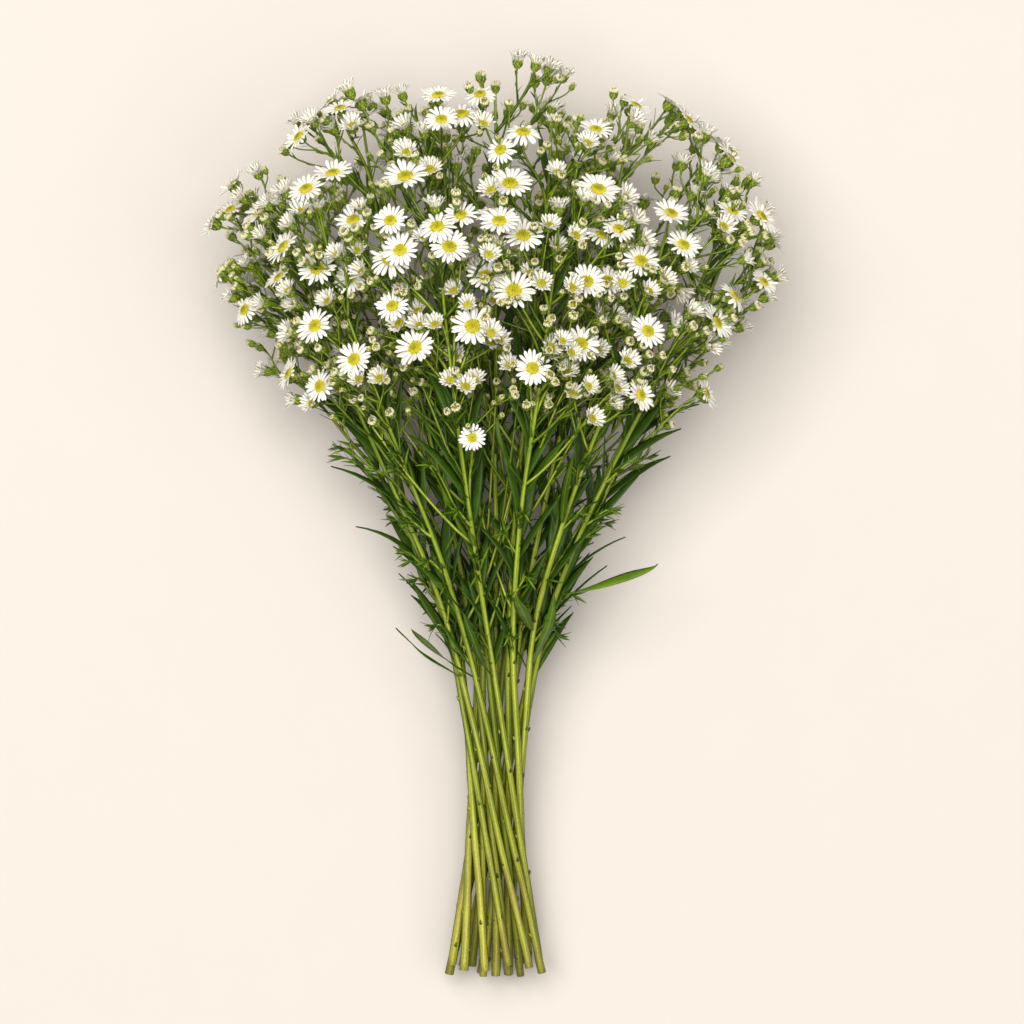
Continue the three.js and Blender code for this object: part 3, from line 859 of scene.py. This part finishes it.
def stem_wood(surface, stem):
    """The main stem: straight at the foot, curved above, with a swelling and a scar at each node."""
    foot = [stem.line(y) for y in np.arange(stem.cut[1], STRAIGHT - 1, 5.25)]
    path = np.array(foot + stem.curve.points(34))
    reach = np.concatenate([[0], np.cumsum(np.linalg.norm(np.diff(path, axis=0), axis=1))])
    radii = np.array([stem.radius_at(p[1]) for p in path])
    phase = reach / NODE_SPACING + draw(stem.number, TURN)
    radii *= 1 + 0.07 * np.cos(tau * phase) ** 9 + 0.015 * np.sin(reach * 0.9)
    wave = 0.35 * np.sin(reach / 17 + stem.number)[:, None]
    path[1:] += (wave * across(path[0], ALONG, stem.number, 0))[1:]
    age = np.interp(path[:, 1], (-TAIL, 60, 330), (1, 0.62, 0.1))
    sweep(surface, path, radii, CIRCLES[10], UP, BARK, age, draw(stem.number, SHADE))
    ahead = unit(path[1] - path[0])
    rim = stem.thickness
    for inner, depth, stuff in ((0.9, 0.12, PITH), (0.42, 0.2, CUP)):
        plug = [path[0] - ahead * depth, path[0] + ahead * 0.5]
        sweep(surface, plug, [rim * inner] * 2, CIRCLES[10], UP, stuff, 0.2, 0.5)
    for k in range(int(reach[-1] * 0.55 / NODE_SPACING)):
        at = int(np.searchsorted(phase, ceil(phase[0]) + k))
        point, along = path[at], unit(path[at] - path[at - 1])
        right = unit(np.cross(along, UP))
        turn = GOLDEN * k + stem.number
        side = right * cos(turn) + np.cross(right, along) * sin(turn)
        skin = point + side * radii[at] * 0.8
        stub = [skin, skin + side * 0.7 + along * 0.8, skin + side * 1.1 + along * 2.2]
        face = np.cross(along, side)
        sweep(surface, stub, [0.95, 0.75, 0.25], CIRCLES[6], face, BARK, 0.8, draw(k, SHADE))


def grow_stem(stem, heads):
    """Everything that grows on one main stem: the green parts, and the heads."""
    surface, blooms = Surface(), Surface()
    stem_wood(surface, stem)
    number = stem.number
    stalks = list(stem.stalks)
    for k in range(EXTRA_BRANCHES):
        share = mix(0.02, 0.98, ((k + draw(number, k, HEIGHT)) / EXTRA_BRANCHES) ** 1.35)
        curve, facing = branch_curve(stem, share, mix(*EXTRA_REACH, share), 50 + k, 0)
        stalks.append(Stalk(curve, facing, 0.9, False))
    for k, stalk in enumerate(stalks):
        seed = number * 97 + k * 5 + 3
        tip_radius = NECK_RADIUS if stalk.bare else 0.5
        stalk_tube(surface, stalk.curve, stalk.radius, tip_radius, 12, 6, draw(seed, SHADE))
        if stalk.curve.at(1)[1] < HEADS_FROM:
            leaf_tuft(surface, stalk, seed)
        elif not stalk.bare:
            add_head(blooms, heads, stalk.curve.at(1), stalk.facing, seed)
        grow_twigs(surface, blooms, heads, stalk, seed)
        leaves_along(surface, stalk.curve, 0.08, 0.6, *BRANCH_LEAVES, seed + 1)
    add_head(blooms, heads, stem.tip, stem.curve.heading(1), number + 4000)
    leaves_along(surface, stem.curve, 0.05, 0.6, *STEM_LEAVES, number + 900)
    leaves_along(surface, stem.curve, 0.0, 0.55, *BROAD_LEAVES, number + 70, below=True)
    leaves_along(surface, stem.curve, 0.5, 0.92, *UPPER_LEAVES, number + 170, below=True)
    return surface, blooms


def large_leaf(leaf, index):
    """A lance-shaped leaf with a sunken midrib, waved edges and a slight twist."""
    base, bow, tip, side = leaf
    surface = Surface()
    share = np.linspace(0, 1, 19)
    path = np.array([bow_between(base, bow, tip, u) for u in share])
    along = unit(tip - base)
    cross = unit(np.cross(along, side))
    length = np.linalg.norm(tip - base)
    droop = 0.07 * length * share**3 * (1 + draw(index, LIFT))
    path += side * (0.5 * np.sin(share * 9 + index) - droop)[:, None]
    path += cross * (0.035 * length * np.sin(share * 3.4) * (2 * draw(index, WAVE) - 1))[:, None]
    twist = (0.5 * np.sin(share * 2.5 + index))[:, None]
    widths = np.sin(pi * np.clip(share * 0.97 + 0.03, 0, 1)) ** 0.8 * (1.12 - 0.3 * share)
    sizes = np.stack([widths * LEAF_HALF_WIDTH + 0.12, np.full(19, 0.3)], 1)
    path = np.array([at_least(p, 1) for p in path])
    sweep(surface, path, sizes, LEAF_SECTION, side + cross * twist, LEAF, 0.9, draw(index, SHADE))
    return surface


# ---- Materials ----

WHITE = (255, 255, 255)
BLACK = (0, 0, 0)
BUMP = 0.6


def linear(c):
    return c / 12.92 if c <= 0.04045 else ((c + 0.055) / 1.055) ** 2.4


def solid(colour):
    """An sRGB colour from 0 to 255 as Blender's nodes take it."""
    return (*[linear(c / 255) for c in colour], 1)


class Look:
    """A material in the making: its nodes, and its colour so far."""

    def __init__(self, name):
        self.material = bpy.data.materials.new(name)
        self.material.use_nodes = True
        self.tree = self.material.node_tree
        self.shader = self.tree.nodes["Principled BSDF"]
        self.colour = None

    def node(self, kind):
        return self.tree.nodes.new("ShaderNode" + kind)

    def feed(self, socket, value):
        """Links an output to a socket, or writes a number or a colour on it."""
        if isinstance(value, (int, float)):
            socket.default_value = value
        elif isinstance(value, tuple):
            socket.default_value = solid(value)
        else:
            self.tree.links.new(value, socket)

    def parts(self, vector):
        node = self.node("SeparateXYZ")
        self.feed(node.inputs[0], vector)
        return node.outputs

    def tint(self):
        node = self.node("Attribute")
        node.attribute_name = "tint"
        return self.parts(node.outputs["Vector"])

    def organ_map(self):
        """How far round and along its organ a point is."""
        node = self.node("UVMap")
        node.uv_map = "grain"
        return node.outputs["UV"]

    def math(self, operation, a, b=0.0):
        node = self.node("Math")
        node.operation = operation
        self.feed(node.inputs[0], a)
        self.feed(node.inputs[1], b)
        return node.outputs[0]

    def off_top(self):
        """How far round its organ a point is from the upper side, as a share of the way round."""
        around = self.parts(self.organ_map())[0]
        return self.math("ABSOLUTE", self.math("SUBTRACT", around, 0.25))

    def noise(self, scale, stretch=(1, 1, 1), place=None, detail=4):
        """Noise in the piece's own metres, or on the map that is given."""
        size = self.node("Mapping")
        size.inputs["Scale"].default_value = stretch
        self.feed(size.inputs[0], place or self.node("TexCoord").outputs["Object"])
        made = self.node("TexNoise")
        self.feed(made.inputs["Scale"], scale)
        self.feed(made.inputs["Detail"], detail)
        self.feed(made.inputs["Vector"], size.outputs[0])
        return made.outputs["Fac"]

    def ramp(self, source, stops):
        """A colour ramp. Stops are (place, colour)."""
        node = self.node("ValToRGB")
        elements = node.color_ramp.elements
        while len(elements) < len(stops):
            elements.new(0.5)
        for element, (place, colour) in zip(elements, stops):
            element.position = place
            element.color = solid(colour)
        self.feed(node.inputs[0], source)
        return node.outputs[0]

    def blend(self, share, colour, kind="MIX"):
        """Puts a share of another colour over the colour so far."""
        node = self.node("Mix")
        node.data_type = "RGBA"
        node.blend_type = kind
        node.clamp_result = True
        for index, value in ((0, share), (6, self.colour), (7, colour)):
            self.feed(node.inputs[index], value)
        self.colour = node.outputs[2]

    def shade(self, share, source, stops):
        """Multiplies the colour so far by a ramp."""
        self.blend(share, self.ramp(source, stops), "MULTIPLY")

    def finish(self, roughness, gloss=0.5):
        self.feed(self.shader.inputs["Base Color"], self.colour)
        self.feed(self.shader.inputs["Roughness"], roughness)
        self.feed(self.shader.inputs["Specular IOR Level"], gloss)
        return self.material

    def relief(self, height, depth):
        """Raises the skin by a height from 0 to 1 times a depth in metres."""
        bump = self.node("Bump")
        self.feed(bump.inputs["Strength"], BUMP)
        self.feed(bump.inputs["Distance"], depth)
        self.feed(bump.inputs["Height"], height)
        self.feed(self.shader.inputs["Normal"], bump.outputs[0])


def ray_material():
    """White rays, green-cream at the foot and on young heads, with fine veins along them."""
    look = Look("ray_white")
    youth, own, share = look.tint()
    look.colour = look.ramp(share, [(0, (206, 214, 150)), (0.16, (240, 240, 222)), (0.4, (253, 252, 248))])
    young = look.ramp(share, [(0, (160, 176, 76)), (0.45, (222, 218, 130)), (1, (246, 238, 186))])
    look.blend(youth, young)
    veins = look.noise(1, (26, 2.2, 1), look.organ_map(), 2)
    look.shade(0.55, veins, [(0.35, (226, 226, 214)), (0.6, WHITE)])
    look.shade(1.0, own, [(0, (243, 240, 230)), (0.5, WHITE), (1, (250, 247, 240))])
    look.feed(look.shader.inputs["Sheen Weight"], 0.15)
    look.relief(veins, 0.0002)
    return look.finish(0.62, 0.3)


def disc_material():
    """Golden florets, paler at the rim and olive in the unopened middle."""
    look = Look("disc_gold")
    age, own, _ = look.tint()
    stops = [(0, (232, 220, 52)), (0.4, (212, 202, 20)), (0.7, (172, 172, 22)), (1, (142, 150, 42))]
    look.colour = look.ramp(age, stops)
    look.shade(0.8, own, [(0, (190, 176, 120)), (0.6, (255, 250, 220)), (1, (255, 255, 240))])
    grain = look.noise(2600)
    look.shade(0.35, grain, [(0.3, (170, 160, 120)), (0.65, WHITE)])
    look.relief(grain, 0.0001)
    return look.finish(0.7)


def cup_material():
    """Scales of the cup: pale at the foot and edges, deeper green down the middle."""
    look = Look("cup_green")
    age, own, share = look.tint()
    look.colour = look.ramp(share, [(0, (178, 194, 84)), (0.5, (140, 168, 40)), (1, (104, 138, 24))])
    patches = look.noise(500)
    look.shade(0.6, patches, [(0.3, (170, 178, 120)), (0.7, WHITE)])
    look.shade(0.8, own, [(0, (200, 206, 160)), (1, WHITE)])
    look.blend(look.math("MULTIPLY", age, 0.25), (176, 180, 92))
    look.relief(patches, 0.0001)
    return look.finish(0.55, 0.28)


def bark_material():
    """Stem skin: fine ribs along it, green above, yellower and touched with brown at the foot, with a
    painted highlight along its upper side and painted shade round its flanks.
    """
    look = Look("stem_skin")
    age, own, _ = look.tint()
    stops = [(0.1, (172, 196, 76)), (0.45, (188, 206, 82)), (0.75, (204, 208, 92)), (1, (212, 204, 102))]
    look.colour = look.ramp(age, stops)
    ribs = look.noise(1, (14, 9, 1), look.organ_map(), 3)
    look.shade(0.8, ribs, [(0.32, (128, 140, 66)), (0.62, (255, 255, 240))])
    # Painted highlight and shade: the section's upper side stays light, and its flanks and underside are
    # darkened.
    look.shade(0.9, look.off_top(), [(0.0, WHITE), (0.11, (206, 216, 140)), (0.2, (104, 120, 26))])
    brown = look.ramp(look.noise(90, (1, 0.25, 1)), [(0.5, BLACK), (0.68, WHITE)])
    low = look.math("MULTIPLY", look.math("POWER", age, 3.0), 0.5)
    look.blend(look.math("MULTIPLY", low, brown), (152, 112, 74))
    look.shade(0.5, look.noise(1500, (1, 0.5, 1)), [(0.36, (186, 180, 120)), (0.5, WHITE)])
    look.shade(1.0, own, [(0, (164, 178, 120)), (0.6, WHITE), (1, (255, 250, 225))])
    look.relief(ribs, 0.0006)
    return look.finish(0.5, 0.28)


def leaf_material():
    """Leaf skin: deep green with a pale midrib, fine side veins and lighter patches."""
    look = Look("leaf_green")
    _, own, share = look.tint()
    # The dark end of this ramp also carries painted shade, for the leaves inside the bunch whose own
    # number is scaled down.
    look.colour = look.ramp(own, [(0, (50, 80, 4)), (0.5, (90, 124, 12)), (1, (130, 160, 34))])
    look.shade(0.7, look.noise(160), [(0.3, (170, 184, 120)), (0.7, WHITE)])
    veins = look.noise(1, (5, 60, 1), look.organ_map(), 2)
    look.shade(0.35, veins, [(0.4, (180, 196, 130)), (0.6, WHITE)])
    rib = look.ramp(look.off_top(), [(0.0, WHITE), (0.045, BLACK)])
    look.blend(look.math("MULTIPLY", rib, 0.5), (150, 166, 84))
    look.shade(0.6, share, [(0.75, WHITE), (1, (214, 206, 150))])
    look.relief(veins, 0.0002)
    return look.finish(0.5, 0.28)


def pith_material():
    """The cut face: pale wood rings round a softer core."""
    look = Look("cut_pith")
    fibres = look.noise(1400)
    look.colour = look.ramp(fibres, [(0.3, (168, 166, 96)), (0.7, (214, 210, 150))])
    look.relief(fibres, 0.0002)
    return look.finish(0.8)


STUFFS = [
    ray_material(), disc_material(), cup_material(), bark_material(), leaf_material(), pith_material(),
]


# ---- Pieces ----


def corner_maps(faces, maps):
    """The map at each corner of each face. A face that closes a ring goes on past 1."""
    corners = maps[faces]
    around = corners[:, :, 0]
    closes = around.max(1) - around.min(1) > 0.5
    around[closes[:, None] & (around < 0.5)] += 1
    return corners


def shared_map(faces, grain, tints, stuffs):
    """A map where organs of the same material, age and shade share one cell of a square grid."""
    steps = 4
    age, own = (np.minimum(tints[faces[:, 0], i] * steps, steps - 1).astype(int) for i in (0, 1))
    kinds, cell = np.unique((stuffs * steps + age) * steps + own, return_inverse=True)
    side = ceil(sqrt(len(kinds)))
    corner = np.stack([cell % side, cell // side], 1)[:, None]
    return (corner + mix(0.06, 0.94, grain)) / side


def make_piece(node, part, surface):
    """A Blender object from a surface, in metres, riding on the bunch and standing for its CAD node."""
    name = f"{node}_{part}"
    points, faces, maps, tints, stuffs = surface.joined()
    points = points + WAIST
    low = points[:, 2] < EASE_BELOW
    above = np.exp((points[low, 2] - FLOOR_GAP) * EASE)
    points[low, 2] = FLOOR_GAP + np.log1p(above) / EASE
    used = sorted(set(stuffs.tolist()))
    mesh = bpy.data.meshes.new(name)
    corners = faces[faces >= 0]
    sizes = (faces >= 0).sum(1)
    mesh.vertices.add(len(points))
    mesh.vertices.foreach_set("co", (points * MM).ravel().astype(np.float32))
    mesh.loops.add(len(corners))
    mesh.loops.foreach_set("vertex_index", corners.astype(np.int32))
    mesh.polygons.add(len(faces))
    mesh.polygons.foreach_set("loop_start", np.concatenate([[0], np.cumsum(sizes)[:-1]]).astype(np.int32))
    mesh.polygons.foreach_set("material_index", np.searchsorted(used, stuffs).astype(np.int32))
    mesh.update(calc_edges=True)
    mesh.shade_smooth()
    grain = corner_maps(faces, maps)
    for label, map_ in (("grain", grain), ("OFBake", shared_map(faces, grain, tints, stuffs))):
        layer = mesh.uv_layers.new(name=label)
        layer.data.foreach_set("uv", map_[faces >= 0].ravel().astype(np.float32))
    tint = mesh.attributes.new("tint", "FLOAT_VECTOR", "POINT")
    tint.data.foreach_set("vector", tints.ravel().astype(np.float32))
    for stuff in used:
        mesh.materials.append(STUFFS[stuff])
    piece = bpy.data.objects.new(name, mesh)
    bpy.context.scene.collection.objects.link(piece)
    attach(piece, "root")
    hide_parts(node)


def make_bunch():
    stems, leaves, flowers = grow_bunch()
    heads = Heads()
    for centre, _, radius in flowers:
        heads.take(centre, radius)
    for i, (centre, facing, radius) in enumerate(flowers):
        surface = Surface()
        form = REFLEXED if draw(i, KIND) < 0.12 else OPEN
        turn = towards(facing, tau * draw(i, SPIN), radius / form.radius)
        head(form, 60 + i).copy_to(surface, turn, centre, 0)
        make_piece(f"flower_{i + 1:02d}", "head", surface)
    for i, leaf in enumerate(leaves):
        make_piece(f"leaf_{i + 1:02d}", "blade", large_leaf(leaf, i))
    for stem in stems:
        node = f"stem_{stem.number + 1:02d}"
        green, blooms = grow_stem(stem, heads)
        make_piece(node, "spray", green)
        make_piece(node, "heads", blooms)


# ---- The setting: a pale floor, soft light and a camera that looks straight down ----

SURFACE_COLOUR = (212, 205, 197)
SURFACE_SIZE = 24
CAMERA_HEIGHT = 4.2
PICTURE_WIDTH = 0.5595  # of the bunch's level at the camera, in metres
FOCUS_LEVEL = 0.09
LOOK_AT = (0.0085, 0.006)
FAR = 50
ROOM_COLOUR = (1, 0.98, 0.95, 1)
ROOM_STRENGTH = 0.2
LIGHTS = {  # place, size, power and colour
    "key": ((-0.8, 0.9, 5.0), 3.6, 320, (1.0, 0.98, 0.955)),
    "fill": ((1.9, -0.6, 5.0), 4.5, 112, (1.0, 0.98, 0.96)),
}


def make_floor():
    bpy.ops.mesh.primitive_grid_add(x_subdivisions=8, y_subdivisions=8, size=SURFACE_SIZE)
    floor = bpy.context.object
    floor.name = "floor"
    look = Look("floor_paper")
    darker = tuple(c - 0.6 for c in SURFACE_COLOUR)
    look.colour = look.ramp(look.noise(30), [(0.3, darker), (0.7, SURFACE_COLOUR)])
    floor.data.materials.append(look.finish(0.95, 0.1))


def add_light(name, place, size, power, colour):
    data = bpy.data.lights.new(name, "AREA")
    data.size = size
    data.energy = power
    data.color = colour
    light = bpy.data.objects.new(name, data)
    light.location = place
    light.rotation_euler = (-Vector(place)).to_track_quat("-Z", "Y").to_euler()
    bpy.context.scene.collection.objects.link(light)


def make_setting():
    scene = bpy.context.scene
    make_floor()
    world = bpy.data.worlds.new("soft_room")
    world.use_nodes = True
    background = world.node_tree.nodes["Background"]
    background.inputs[0].default_value = ROOM_COLOUR
    background.inputs[1].default_value = ROOM_STRENGTH
    scene.world = world
    for name, light in LIGHTS.items():
        add_light(name, *light)
    data = bpy.data.cameras.new("camera")
    data.lens = data.sensor_width * (CAMERA_HEIGHT - FOCUS_LEVEL) / PICTURE_WIDTH
    data.clip_end = FAR
    camera = bpy.data.objects.new("camera", data)
    camera.location = (*LOOK_AT, CAMERA_HEIGHT)
    scene.collection.objects.link(camera)
    scene.camera = camera
    scene.view_settings.view_transform = "Standard"


make_bunch()
make_setting()
